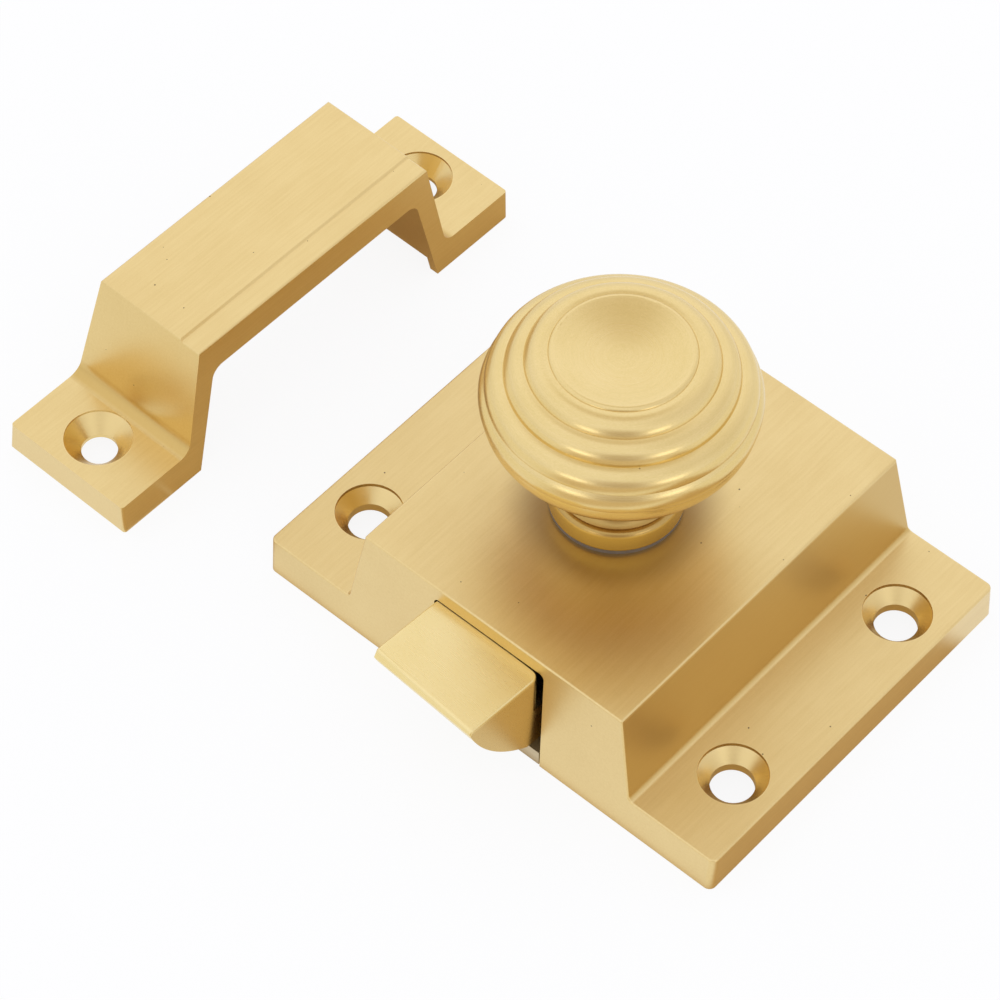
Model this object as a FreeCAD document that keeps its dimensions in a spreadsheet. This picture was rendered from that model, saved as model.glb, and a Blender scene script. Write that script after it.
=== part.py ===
import FreeCAD, Part
import math
import os
import Sketcher

# Surface-mounted cupboard catch with its keeper, in millimetres.
# Origin: centre of the case's four screw holes, on the back face.
# X runs across the flanges, the bolt points to -Y and the knob stands along +Z.

SIZES = [
    # case
    ("case_width", 67.0),
    ("case_depth", 51.4),
    ("case_height", 18.06),
    ("flange_thickness", 5.4),
    ("flange_width", 12.4),
    ("body_side_run", 2.15),
    ("front_lean", 0.058),
    ("back_lean", 0.10),
    ("case_corner_radius", 0.9),
    ("case_edge_radius", 0.25),
    ("flange_root_radius", 0.7),
    ("side_wall", 1.9),
    ("end_wall", 2.2),
    ("roof_thickness", 1.86),
    ("cavity_corner_radius", 1.6),
    ("recess_depth", 2.25),
    ("recess_rim", 1.8),
    ("mouth_top_width", 16.2),
    ("mouth_base_width", 17.2),
    ("mouth_offset", -0.25),
    ("mouth_corner_radius", 0.7),
    ("screw_from_side", 6.0),
    ("screw_from_end", 10.9),
    ("screw_hole_diameter", 5.2),
    ("countersink_diameter", 8.2),
    ("countersink_angle", 90.0),
    ("countersink_lip", 0.5),
    # back plate and its screws
    ("plate_overlap", 2.9),
    ("plate_gap", 0.15),
    ("tongue_gap", 0.15),
    ("plate_screw_from_side", 2.4),
    ("plate_screw_from_end", 4.25),
    ("plate_screw_diameter", 2.5),
    ("plate_screw_head", 4.6),
    ("plate_screw_length", 4.8),
    ("plate_screw_sink", 0.05),
    ("plate_screw_gap", 0.1),
    ("screwed_gap", 0.02),
    ("driver_slot_width", 0.6),
    ("driver_slot_depth", 0.55),
    # bolt, drawn along its own line of travel
    ("bolt_skew", 3.5),
    ("bolt_x", 0.13),
    ("pivot_from_front", 8.2),
    ("head_width", 15.4),
    ("head_gap", 0.15),
    ("head_length", 11.1),
    ("nose_reach", 17.9),
    ("nose_land", 0.25),
    ("nose_run", 9.2),
    ("nose_curve", 22.0),
    ("head_rear_radius", 1.1),
    ("bevel_left", 0.8),
    ("bevel_right", 0.3),
    ("bevel_lean", 27.0),
    ("nose_edge_radius", 0.45),
    ("bolt_edge_radius", 0.25),
    ("bolt_bottom", 3.9),
    ("arm_screw_clear", 0.82),
    ("shoulder_gap", 0.4),
    ("tail_half_width", 13.2),
    ("tail_corner_radius", 1.5),
    ("tail_behind_slot", 9.0),
    ("skid_width", 2.4),
    ("skid_gap", 0.1),
    ("bolt_travel", 8.5),
    # knob, spindle and crank
    ("spindle_x", -1.32),
    ("spindle_from_front", 23.94),
    ("journal_diameter", 6.0),
    ("running_gap", 0.05),
    ("boss_diameter", 10.0),
    ("boss_depth", 1.2),
    ("washer_diameter", 15.5),
    ("washer_thickness", 0.5),
    ("stud_diameter", 5.0),
    ("stud_length", 11.0),
    ("stud_end_gap", 1.0),
    ("square_across", 4.2),
    ("square_gap", 0.05),
    ("arm_length", 8.5),
    ("arm_swing", 60.0),
    ("arm_thickness", 2.2),
    ("arm_hub_radius", 4.4),
    ("arm_tip_radius", 2.6),
    ("arm_gap", 0.08),
    ("pin_diameter", 3.0),
    ("pin_end", 5.0),
    ("slot_gap", 0.12),
    ("slot_end_gap", 0.5),
    ("arm_washer_diameter", 6.4),
    ("arm_washer_thickness", 0.5),
    ("arm_screw_diameter", 2.5),
    ("arm_screw_length", 5.0),
    ("arm_screw_head", 4.8),
    ("arm_screw_head_height", 1.3),
    ("arm_screw_head_curve", 0.5),
    ("arm_square_play", 0.1),
    ("pin_chamfer", 0.3),
    # knob profile: radii, and heights above the knob's foot
    ("foot_radius", 7.85),
    ("foot_height", 2.35),
    ("foot_edge", 0.25),
    ("foot_round", 0.8),
    ("neck_radius", 6.1),
    ("neck_start", 4.4),
    ("neck_length", 2.5),
    ("shoulder_curve", 1.9),
    ("flare_curve", 6.0),
    ("flare_rise", 5.86),
    ("under_radius", 11.29),
    ("under_rise", 4.73),
    ("under_curve", 4.97),
    ("crease_four_radius", 15.58),
    ("bead_four_rise", 2.55),
    ("crease_three_radius", 15.16),
    ("bead_three_rise", 2.34),
    ("crease_two_radius", 13.1),
    ("bead_two_rise", 2.09),
    ("crease_one_radius", 10.89),
    ("bead_one_rise", 1.42),
    ("dish_radius", 8.25),
    ("dish_crest_run", 0.7),
    ("dish_crest_rise", 0.26),
    ("dish_edge_curve", 0.55),
    ("dish_depth", 0.95),
    ("low_bead_curve", 2.3),
    ("bead_curve", 2.15),
    # spring
    ("spring_wire", 0.45),
    ("spring_diameter", 4.2),
    ("spring_turns", 9.0),
    ("spring_hole_gap", 0.15),
    ("spring_hole_depth", 6.0),
    ("spring_end_gap", 0.05),
    ("seat_boss_diameter", 6.4),
    ("seat_boss_height", 0.6),
    ("seat_stud_diameter", 2.3),
    ("seat_stud_length", 3.0),
    # keeper, drawn with its length along Y and its bolt side at +X
    ("keeper_x", -58.8),
    ("keeper_y", 0.25),
    ("keeper_turn", 0.9),
    ("keeper_length", 67.0),
    ("keeper_width", 19.4),
    ("keeper_height", 20.4),
    ("keeper_foot", 4.65),
    ("keeper_foot_length", 11.2),
    ("keeper_leg_run", 3.06),
    ("keeper_leg_base_thickness", 1.55),
    ("keeper_leg_top_thickness", 1.95),
    ("keeper_bridge", 4.75),
    ("keeper_inside_radius", 1.8),
    ("keeper_root_radius", 1.9),
    ("keeper_back_lean", 0.14),
    ("keeper_front_lean", 0.02),
    ("keeper_lip_width", 2.9),
    ("keeper_lip_drop", 0.25),
    ("keeper_recess", 1.9),
    ("keeper_rim", 1.2),
    ("keeper_leg_round", 1.3),
    ("keeper_hole_from_end", 5.6),
    ("keeper_hole_diameter", 4.4),
    ("keeper_countersink", 8.3),
    ("keeper_countersink_lip", 0.3),
    ("keeper_corner_radius", 0.4),
    ("keeper_edge_radius", 0.25),
    # reach of a cut past the surface it opens
    ("cut_past", 1.0),
]

FORMULAS = [
    ("half_width", "case_width / 2"),
    ("half_depth", "case_depth / 2"),
    ("body_half_base", "half_width - flange_width"),
    ("body_half_top", "body_half_base - body_side_run"),
    ("past_top", "case_height + cut_past"),
    ("front_foot", "-half_depth"),
    ("front_at_past_top", "front_foot + front_lean * past_top"),
    ("front_clear", "front_foot - cut_past"),
    ("back_at_past_top", "half_depth - back_lean * past_top"),
    ("back_clear", "half_depth + cut_past"),
    ("side_slope", "body_side_run / (case_height - flange_thickness)"),
    ("roof_inside", "case_height - roof_thickness"),
    ("cavity_half_low", "body_half_base + side_slope * (flange_thickness - recess_depth) - side_wall"),
    ("cavity_half_high", "body_half_base - side_slope * (roof_inside - flange_thickness) - side_wall"),
    ("cavity_front_low", "front_foot + front_lean * recess_depth + end_wall"),
    ("cavity_front_high", "front_foot + front_lean * roof_inside + end_wall"),
    ("cavity_back_low", "half_depth - back_lean * recess_depth - end_wall"),
    ("cavity_back_high", "half_depth - back_lean * roof_inside - end_wall"),
    ("recess_half_width", "half_width - recess_rim"),
    ("recess_half_depth", "half_depth - recess_rim"),
    ("mouth_left_top", "mouth_offset - mouth_top_width / 2"),
    ("mouth_right_top", "mouth_offset + mouth_top_width / 2"),
    ("mouth_left_base", "mouth_offset - mouth_base_width / 2"),
    ("mouth_right_base", "mouth_offset + mouth_base_width / 2"),
    ("mouth_lean", "(mouth_base_width - mouth_top_width) / 2 / roof_inside"),
    ("mouth_cut", "cut_past + end_wall + front_lean * case_height + cut_past / 2"),
    ("mouth_start", "half_depth + cut_past"),
    ("screw_half_across", "half_width - screw_from_side"),
    ("screw_half_along", "half_depth - screw_from_end"),
    ("countersink_level", "flange_thickness - countersink_lip"),
    ("plate_half_width", "body_half_base + plate_overlap"),
    ("plate_half_depth", "recess_half_depth - plate_gap"),
    ("plate_front", "-plate_half_depth"),
    ("tongue_left", "mouth_left_base + mouth_lean * recess_depth + tongue_gap"),
    ("tongue_right", "mouth_right_base - mouth_lean * recess_depth - tongue_gap"),
    ("tongue_front", "front_foot + front_lean * recess_depth"),
    ("plate_screw_half_across", "plate_half_width - plate_screw_from_side"),
    ("plate_screw_half_along", "plate_half_depth - plate_screw_from_end"),
    ("plate_screw_radius", "plate_screw_diameter / 2"),
    ("plate_screw_head_radius", "plate_screw_head / 2"),
    ("plate_screw_cone", "plate_screw_head_radius - plate_screw_radius"),
    ("plate_hole_diameter", "plate_screw_diameter + 2 * plate_screw_gap"),
    ("plate_countersink_diameter", "plate_screw_head + 2 * plate_screw_gap"),
    ("plate_tap_diameter", "plate_screw_diameter + 2 * screwed_gap"),
    ("plate_tap_depth", "plate_screw_sink + plate_screw_length - recess_depth + plate_screw_gap"),
    ("foot_level", "case_height + washer_thickness"),
    ("journal_radius", "journal_diameter / 2"),
    ("spindle_hole_diameter", "journal_diameter + 2 * running_gap"),
    ("boss_level", "roof_inside - boss_depth"),
    ("arm_top", "boss_level - arm_gap"),
    ("arm_bottom", "arm_top - arm_thickness"),
    ("square_bottom", "arm_bottom + arm_square_play"),
    ("arm_washer_bottom", "arm_bottom - arm_washer_thickness"),
    ("arm_screw_radius", "arm_screw_diameter / 2"),
    ("arm_screw_head_radius", "arm_screw_head / 2"),
    ("arm_screw_head_flat", "arm_screw_head_radius - arm_screw_head_curve"),
    ("arm_screw_head_side", "arm_screw_head_height - arm_screw_head_curve"),
    ("arm_washer_hole", "arm_screw_diameter + 2 * plate_screw_gap"),
    ("arm_tap_diameter", "arm_screw_diameter + 2 * screwed_gap"),
    ("arm_tap_depth", "arm_screw_length"),
    ("stud_radius", "stud_diameter / 2"),
    ("stud_top", "foot_level + stud_length"),
    ("stud_socket_diameter", "stud_diameter + 2 * screwed_gap"),
    ("stud_socket_depth", "stud_length + stud_end_gap"),
    ("square_half", "square_across / 2"),
    ("square_length", "arm_top - square_bottom"),
    ("square_hole_half", "square_across / 2 + square_gap"),
    ("pin_hole_diameter", "pin_diameter + 2 * screwed_gap"),
    ("pin_length", "arm_top - pin_end"),
    ("arm_rest_angle", "arm_swing / 2 + bolt_skew"),
    ("bolt_pivot_y", "front_foot + pivot_from_front"),
    ("spindle_y", "front_foot + spindle_from_front"),
    ("pivot_to_spindle", "spindle_y - bolt_pivot_y"),
    ("spindle_off_line", "spindle_x - bolt_x"),
    ("spindle_across_bolt", "spindle_off_line * cos(bolt_skew) - pivot_to_spindle * sin(bolt_skew)"),
    ("spindle_along_bolt", "spindle_off_line * sin(bolt_skew) + pivot_to_spindle * cos(bolt_skew)"),
    ("pin_radius", "pin_diameter / 2"),
    ("pin_rest_across", "spindle_across_bolt + arm_length * cos(arm_swing / 2)"),
    ("pin_far_across", "spindle_across_bolt + arm_length"),
    ("pin_rest_along", "spindle_along_bolt - arm_length * sin(arm_swing / 2)"),
    ("slot_radius", "pin_radius + slot_gap"),
    ("slot_inner_across", "pin_rest_across - slot_end_gap"),
    ("slot_outer_across", "pin_far_across + slot_end_gap"),
    ("bolt_top", "roof_inside - head_gap"),
    ("tail_top", "arm_washer_bottom - arm_screw_head_height - arm_screw_clear"),
    ("nose_front", "-nose_reach"),
    ("nose_land_level", "bolt_top - nose_land"),
    ("nose_back", "nose_front + nose_run"),
    ("head_rear", "nose_front + head_length"),
    ("bevel_left_line", "nose_front + bevel_left"),
    ("bevel_right_line", "nose_front + bevel_right"),
    ("bevel_side", "head_width / 2 + cut_past"),
    ("bevel_clear", "nose_front - 3 * cut_past"),
    ("bevel_drop", "bevel_left / tan(bevel_lean) + cut_past"),
    ("bevel_above", "bolt_top + cut_past"),
    ("bevel_below", "bolt_top - bevel_drop"),
    ("bevel_left_above", "bevel_left_line + cut_past * tan(bevel_lean)"),
    ("bevel_left_below", "bevel_left_line - bevel_drop * tan(bevel_lean)"),
    ("bevel_right_above", "bevel_right_line + cut_past * tan(bevel_lean)"),
    ("bevel_right_below", "bevel_right_line - bevel_drop * tan(bevel_lean)"),
    ("tail_right", "spindle_across_bolt + tail_half_width"),
    ("tail_left", "spindle_across_bolt - tail_half_width"),
    ("tail_level_front", "front_foot + front_lean * tail_top + end_wall"),
    ("tail_front_dip", "tail_right * sin(bolt_skew)"),
    ("tail_front_reach", "tail_level_front - bolt_pivot_y + tail_front_dip"),
    ("tail_front", "tail_front_reach / cos(bolt_skew) + shoulder_gap"),
    ("neck_end_along", "tail_front + cut_past"),
    ("tail_rear", "pin_rest_along + tail_behind_slot"),
    ("tail_thickness", "tail_top - bolt_bottom"),
    ("tail_middle", "(tail_top + bolt_bottom) / 2"),
    ("skid_bottom", "recess_depth + skid_gap"),
    ("skid_height", "bolt_bottom - skid_bottom"),
    ("skid_right_inner", "tail_right - skid_width"),
    ("skid_left_inner", "tail_left + skid_width"),
    ("rib_gap", "skid_gap"),
    ("rib_level", "tail_top + rib_gap"),
    ("rib_width", "side_wall"),
    ("rib_inner", "tail_half_width - rib_width"),
    ("rib_left_outer", "spindle_x - tail_half_width"),
    ("rib_left_inner", "spindle_x - rib_inner"),
    ("rib_right_inner", "spindle_x + rib_inner"),
    ("rib_right_outer", "spindle_x + tail_half_width"),
    ("rib_front", "cavity_front_high + end_wall"),
    ("rib_back", "spindle_y + tail_behind_slot + bolt_travel"),
    ("rib_height", "roof_inside - rib_level + roof_thickness / 2"),
    ("boss_height", "boss_depth + roof_thickness / 2"),
    ("spindle_hole_length", "past_top - boss_level + cut_past"),
    ("spring_hole_diameter", "spring_diameter + 2 * spring_hole_gap"),
    ("spring_hole_bottom", "tail_rear - spring_hole_depth"),
    ("cavity_back_at_spring", "half_depth - back_lean * tail_middle - end_wall"),
    ("seat_y", "cavity_back_at_spring - seat_boss_height"),
    ("seat_along", "(seat_y - bolt_pivot_y) / cos(bolt_skew)"),
    ("seat_x", "bolt_x + seat_along * sin(bolt_skew)"),
    ("seat_boss_length", "seat_boss_height + end_wall / 2"),
    ("spring_start", "spring_hole_bottom + spring_end_gap + spring_wire / 2"),
    ("spring_reach", "seat_along - spring_end_gap - spring_wire / 2 - spring_start - spring_lean"),
    ("spring_lean", "spring_diameter * sin(bolt_skew)"),
    ("spring_coil_radius", "(spring_diameter - spring_wire) / 2"),
    ("spring_pitch", "spring_reach / spring_turns"),
    ("foot_corner", "foot_radius - foot_edge"),
    ("foot_shoulder", "foot_radius - foot_round"),
    ("foot_top", "foot_height + foot_round"),
    ("neck_end", "neck_start + neck_length"),
    ("under_height", "neck_end + flare_rise"),
    ("crease_four_height", "under_height + under_rise"),
    ("crease_three_height", "crease_four_height + bead_four_rise"),
    ("crease_two_height", "crease_three_height + bead_three_rise"),
    ("crease_one_height", "crease_two_height + bead_two_rise"),
    ("dish_height", "crease_one_height + bead_one_rise"),
    ("dish_crest_radius", "dish_radius - dish_crest_run"),
    ("dish_crest_height", "dish_height + dish_crest_rise"),
    ("dish_bottom", "dish_crest_height - dish_depth"),
    ("dish_sphere", "(dish_crest_radius ^ 2 + dish_depth ^ 2) / (2 * dish_depth)"),
    ("keeper_half_length", "keeper_length / 2"),
    ("keeper_half_width", "keeper_width / 2"),
    ("keeper_leg_base", "keeper_half_length - keeper_foot_length"),
    ("keeper_leg_top", "keeper_leg_base - keeper_leg_run"),
    ("keeper_inside_base", "keeper_leg_base - keeper_leg_base_thickness"),
    ("keeper_inside_top", "keeper_leg_top - keeper_leg_top_thickness"),
    ("keeper_underside", "keeper_height - keeper_bridge"),
    ("keeper_past_top", "keeper_height + cut_past"),
    ("keeper_front_at_past_top", "keeper_half_width - keeper_front_lean * keeper_past_top"),
    ("keeper_front_clear", "keeper_half_width + cut_past"),
    ("keeper_back_foot", "-keeper_half_width"),
    ("keeper_back_at_past_top", "keeper_back_foot + keeper_back_lean * keeper_past_top"),
    ("keeper_back_clear", "keeper_back_foot - cut_past"),
    ("keeper_lip_level", "keeper_height - keeper_lip_drop"),
    ("keeper_lip_inner", "keeper_half_width - keeper_front_lean * keeper_height - keeper_lip_width"),
    ("keeper_lip_past_top", "keeper_lip_inner - keeper_past_top + keeper_lip_level"),
    ("keeper_recess_front", "keeper_half_width - keeper_rim - keeper_front_lean * keeper_recess"),
    ("keeper_recess_back", "keeper_back_foot + keeper_rim + keeper_back_lean * keeper_recess"),
    ("keeper_recess_outer", "keeper_half_length - keeper_rim"),
    ("keeper_inside_slope", "(keeper_inside_base - keeper_inside_top) / keeper_underside"),
    ("keeper_round_top", "keeper_recess + keeper_leg_round"),
    ("keeper_round_inner", "keeper_inside_base - keeper_inside_slope * keeper_round_top"),
    ("keeper_round_outer", "keeper_round_inner + keeper_leg_round"),
    ("keeper_recess_inner", "keeper_inside_top"),
    ("keeper_below", "-cut_past"),
    ("keeper_recess_length", "keeper_recess_front - keeper_recess_back"),
    ("keeper_hole_half", "keeper_half_length - keeper_hole_from_end"),
    ("keeper_countersink_level", "keeper_foot - keeper_countersink_lip"),
]

doc = FreeCAD.newDocument("cupboard_catch")
sheet = doc.addObject("Spreadsheet::Sheet", "dims")
row = 1
for name, value in SIZES:
    sheet.set("A" + str(row), name)
    sheet.set("B" + str(row), str(value))
    sheet.setAlias("B" + str(row), name)
    row += 1
for name, formula in FORMULAS:
    sheet.set("A" + str(row), name)
    sheet.set("B" + str(row), "=" + formula)
    sheet.setAlias("B" + str(row), name)
    row += 1
doc.recompute()

UP = FreeCAD.Vector(0, 0, 1)


def size(name):
    """Number held under a name, which may carry a minus sign; 0 stays 0."""
    if name == "0":
        return 0.0
    if name.startswith("-"):
        return -float(sheet.get(name[1:]))
    return float(sheet.get(name))


def term(name):
    """The same name as an expression that other objects can be bound to."""
    if name.startswith("-"):
        return "-dims." + name[1:]
    return "dims." + name


def bind(thing, field, name):
    thing.setExpression(field, term(name))


def new_body(name):
    body = doc.addObject("PartDesign::Body", name)
    body.Label = name
    return body


def place(body, x="0", y="0", z="0", turn=None):
    """Bind a body's place, and its turn about Z if it has one, to named sizes."""
    spot = FreeCAD.Vector(size(x), size(y), size(z))
    axis = UP * -1 if turn and turn.startswith("-") else UP
    angle = size(turn.lstrip("-")) if turn else 0.0
    body.Placement = FreeCAD.Placement(spot, FreeCAD.Rotation(axis, angle))
    for letter, name in (("x", x), ("y", y), ("z", z)):
        if name != "0":
            bind(body, "Placement.Base." + letter, name)
    if turn:
        bind(body, "Placement.Rotation.Angle", turn.lstrip("-"))


def sketch_on(body, name, plane, level=None):
    """Sketch on one of the body's own planes, raised to a named level along the plane's normal."""
    sketch = body.newObject("Sketcher::SketchObject", name)
    base = [o for o in body.Origin.OriginFeatures if o.Role == plane][0]
    sketch.AttachmentSupport = [(base, "")]
    sketch.MapMode = "FlatFace"
    if level:
        sketch.AttachmentOffset = FreeCAD.Placement(FreeCAD.Vector(0, 0, size(level)), FreeCAD.Rotation())
        bind(sketch, "AttachmentOffset.Base.z", level)
    return sketch


def pin_point(sketch, geo, pos, x, y):
    """Hold one point at named distances from the sketch's origin."""
    for kind, name in (("DistanceX", x), ("DistanceY", y)):
        index = sketch.addConstraint(Sketcher.Constraint(kind, -1, 1, geo, pos, size(name)))
        if name != "0":
            bind(sketch, "Constraints[" + str(index) + "]", name)


def outline(sketch, start, steps):
    """Closed profile. A step is (x, y) for a line, or (x, y, radius, side) for an arc whose
    centre lies to the left (+1) or right (-1) of the way from the last point to this one."""
    points = [start] + [step[:2] for step in steps]
    ends = []
    for number, step in enumerate(steps):
        a = FreeCAD.Vector(size(points[number][0]), size(points[number][1]), 0)
        b = FreeCAD.Vector(size(step[0]), size(step[1]), 0)
        if len(step) == 2:
            geo = sketch.addGeometry(Part.LineSegment(a, b), False)
            ends.append((geo, 1, 2))
            continue
        radius = size(step[2])
        chord = b - a
        left = FreeCAD.Vector(-chord.y, chord.x, 0)
        left.normalize()
        rise = math.sqrt(max(radius ** 2 - (chord.Length / 2) ** 2, 0.0))
        centre = (a + b) * 0.5 + left * (rise * step[3])
        from_a = math.atan2(a.y - centre.y, a.x - centre.x)
        from_b = math.atan2(b.y - centre.y, b.x - centre.x)
        circle = Part.Circle(centre, UP, radius)
        if step[3] > 0:
            geo = sketch.addGeometry(Part.ArcOfCircle(circle, from_a, from_b), False)
            ends.append((geo, 1, 2))
        else:
            geo = sketch.addGeometry(Part.ArcOfCircle(circle, from_b, from_a), False)
            ends.append((geo, 2, 1))
        index = sketch.addConstraint(Sketcher.Constraint("Radius", geo, radius))
        bind(sketch, "Constraints[" + str(index) + "]", step[2])
    for number, (geo, first, last) in enumerate(ends):
        following = ends[(number + 1) % len(ends)]
        sketch.addConstraint(Sketcher.Constraint("Coincident", geo, last, following[0], following[1]))
        pin_point(sketch, geo, first, points[number][0], points[number][1])


def rectangle(sketch, left, low, right, high):
    outline(sketch, (left, low), [(right, low), (right, high), (left, high), (left, low)])


def circle(sketch, x, y, diameter):
    spot = FreeCAD.Vector(size(x), size(y), 0)
    geo = sketch.addGeometry(Part.Circle(spot, UP, size(diameter) / 2), False)
    pin_point(sketch, geo, 3, x, y)
    index = sketch.addConstraint(Sketcher.Constraint("Diameter", geo, size(diameter)))
    bind(sketch, "Constraints[" + str(index) + "]", diameter)


def four_circles(sketch, across, along, diameter):
    for x in (across, "-" + across):
        for y in (along, "-" + along):
            circle(sketch, x, y, diameter)


def belt(sketch, first, second):
    """Outline that wraps two round ends, each given as (x, y, radius)."""
    a = FreeCAD.Vector(size(first[0]), size(first[1]), 0)
    b = FreeCAD.Vector(size(second[0]), size(second[1]), 0)
    along = math.atan2(b.y - a.y, b.x - a.x)
    spread = math.acos((size(first[2]) - size(second[2])) / (b - a).Length)
    ends = []
    for spot, item, start, stop in ((a, first, along + spread, along - spread),
                                    (b, second, along - spread, along + spread)):
        round_end = Part.Circle(spot, UP, size(item[2]))
        ends.append(sketch.addGeometry(Part.ArcOfCircle(round_end, start, stop), False))
    sides = []
    for start, stop in ((ends[0], ends[1]), (ends[1], ends[0])):
        line = Part.LineSegment(sketch.Geometry[start].EndPoint, sketch.Geometry[stop].StartPoint)
        sides.append(sketch.addGeometry(line, False))
    for number in range(2):
        sketch.addConstraint(Sketcher.Constraint("Tangent", ends[number], 2, sides[number], 1))
        sketch.addConstraint(Sketcher.Constraint("Tangent", sides[number], 2, ends[1 - number], 1))
    for geo, item in ((ends[0], first), (ends[1], second)):
        pin_point(sketch, geo, 3, item[0], item[1])
        index = sketch.addConstraint(Sketcher.Constraint("Radius", geo, size(item[2])))
        bind(sketch, "Constraints[" + str(index) + "]", item[2])


def extrude(body, kind, sketch, name, length=None, reverse=False, both_ways=False):
    """Pad or pocket. With no length a pocket goes through everything."""
    feature = body.newObject("PartDesign::" + kind, name)
    feature.Profile = sketch
    feature.SideType = "Symmetric" if both_ways else "One side"
    feature.Reversed = reverse
    if length:
        feature.Length = size(length)
        bind(feature, "Length", length)
    else:
        feature.Type = "ThroughAll"
    sketch.Visibility = False
    body.Tip = feature
    doc.recompute()
    return feature


def revolve(body, sketch, name):
    """Full turn about the sketch's own vertical axis."""
    feature = body.newObject("PartDesign::Revolution", name)
    feature.Profile = sketch
    feature.ReferenceAxis = (sketch, ["V_Axis"])
    feature.Angle = 360.0
    sketch.Visibility = False
    body.Tip = feature
    doc.recompute()
    return feature


def cut_between(body, first, second, name):
    """Cut with straight sides from one sketch to the other."""
    feature = body.newObject("PartDesign::SubtractiveLoft", name)
    feature.Profile = first
    feature.Sections = [second]
    feature.Ruled = True
    first.Visibility = False
    second.Visibility = False
    body.Tip = feature
    doc.recompute()
    return feature


def countersunk(body, sketch, name, diameter, rim, upward=False):
    """Through holes with a cone, at every circle of the sketch."""
    hole = body.newObject("PartDesign::Hole", name)
    hole.Profile = sketch
    hole.DepthType = "ThroughAll"
    hole.Reversed = upward
    bind(hole, "Diameter", diameter)
    hole.HoleCutType = "Countersink"
    hole.HoleCutCustomValues = True
    bind(hole, "HoleCutDiameter", rim)
    bind(hole, "HoleCutCountersinkAngle", "countersink_angle")
    sketch.Visibility = False
    body.Tip = hole
    doc.recompute()
    return hole


def edges_where(feature, test):
    """Names of the feature's edges that pass a test on their end points and middle."""
    names = []
    for number, edge in enumerate(feature.Shape.Edges, 1):
        middle = edge.valueAt((edge.FirstParameter + edge.LastParameter) / 2)
        if test(edge, middle):
            names.append("Edge" + str(number))
    return names


def soften(body, kind, field, name, radius, test):
    """Fillet or chamfer the edges of the body's last feature that pass the test."""
    base = body.Tip
    names = edges_where(base, test)
    if not names:
        raise RuntimeError("no edge found for " + name)
    feature = body.newObject("PartDesign::" + kind, name)
    feature.Base = (base, names)
    bind(feature, field, radius)
    body.Tip = feature
    doc.recompute()
    return feature


def near(value, target, reach=0.05):
    return abs(value - target) < reach


def rises(edge, least):
    """True for an edge that climbs at least this far."""
    ends = [v.Point.z for v in edge.Vertexes]
    return len(ends) == 2 and abs(ends[0] - ends[1]) > least


# case: a flanged box drawn as its front outline, with both ends leaning in

case = new_body("case")
profile = sketch_on(case, "case_outline", "XZ_Plane")
outline(profile, ("-half_width", "0"), [
    ("half_width", "0"),
    ("half_width", "flange_thickness"),
    ("body_half_base", "flange_thickness"),
    ("body_half_top", "case_height"),
    ("-body_half_top", "case_height"),
    ("-body_half_base", "flange_thickness"),
    ("-half_width", "flange_thickness"),
    ("-half_width", "0"),
])
extrude(case, "Pad", profile, "case_block", "case_depth", both_ways=True)

leans = sketch_on(case, "end_leans", "YZ_Plane")
outline(leans, ("front_foot", "0"), [
    ("front_at_past_top", "past_top"),
    ("front_clear", "past_top"),
    ("front_clear", "0"),
    ("front_foot", "0"),
])
outline(leans, ("half_depth", "0"), [
    ("back_clear", "0"),
    ("back_clear", "past_top"),
    ("back_at_past_top", "past_top"),
    ("half_depth", "0"),
])
extrude(case, "Pocket", leans, "lean_cuts", both_ways=True)

soften(case, "Fillet", "Radius", "case_corners", "case_corner_radius",
       lambda e, m: rises(e, size("flange_thickness") / 2) and abs(m.y) > size("half_depth") / 2
       and near(abs(m.x), size("half_width")))
soften(case, "Fillet", "Radius", "flange_roots", "flange_root_radius",
       lambda e, m: near(m.z, size("flange_thickness")) and near(abs(m.x), size("body_half_base")))
soften(case, "Fillet", "Radius", "case_edges", "case_edge_radius",
       lambda e, m: near(m.z, size("case_height"))
       or (near(m.z, size("flange_thickness")) and near(abs(m.x), size("half_width"))))

# underside: a shallow seat for the back plate, then the cavity above it
seat = sketch_on(case, "plate_seat", "XY_Plane")
rectangle(seat, "-recess_half_width", "-recess_half_depth", "recess_half_width", "recess_half_depth")
extrude(case, "Pocket", seat, "plate_seat_cut", "recess_depth", reverse=True)

low = sketch_on(case, "cavity_low", "XY_Plane", "recess_depth")
rectangle(low, "-cavity_half_low", "cavity_front_low", "cavity_half_low", "cavity_back_low")
high = sketch_on(case, "cavity_high", "XY_Plane", "roof_inside")
rectangle(high, "-cavity_half_high", "cavity_front_high", "cavity_half_high", "cavity_back_high")
cut_between(case, low, high, "cavity")
soften(case, "Fillet", "Radius", "cavity_corners", "cavity_corner_radius",
       lambda e, m: rises(e, size("flange_thickness")) and abs(m.x) < size("cavity_half_low")
       and abs(m.y) < size("half_depth") - size("end_wall") / 2 and abs(m.x) > size("cavity_half_high") / 2)

mouth = sketch_on(case, "mouth_outline", "XZ_Plane", "mouth_start")
outline(mouth, ("mouth_left_base", "0"), [
    ("mouth_right_base", "0"),
    ("mouth_right_top", "roof_inside"),
    ("mouth_left_top", "roof_inside"),
    ("mouth_left_base", "0"),
])
extrude(case, "Pocket", mouth, "mouth", "mouth_cut")
soften(case, "Fillet", "Radius", "mouth_corners", "mouth_corner_radius",
       lambda e, m: near(m.z, size("roof_inside")) and m.y < size("cavity_front_low")
       and (near(m.x, size("mouth_left_top")) or near(m.x, size("mouth_right_top"))))

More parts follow.
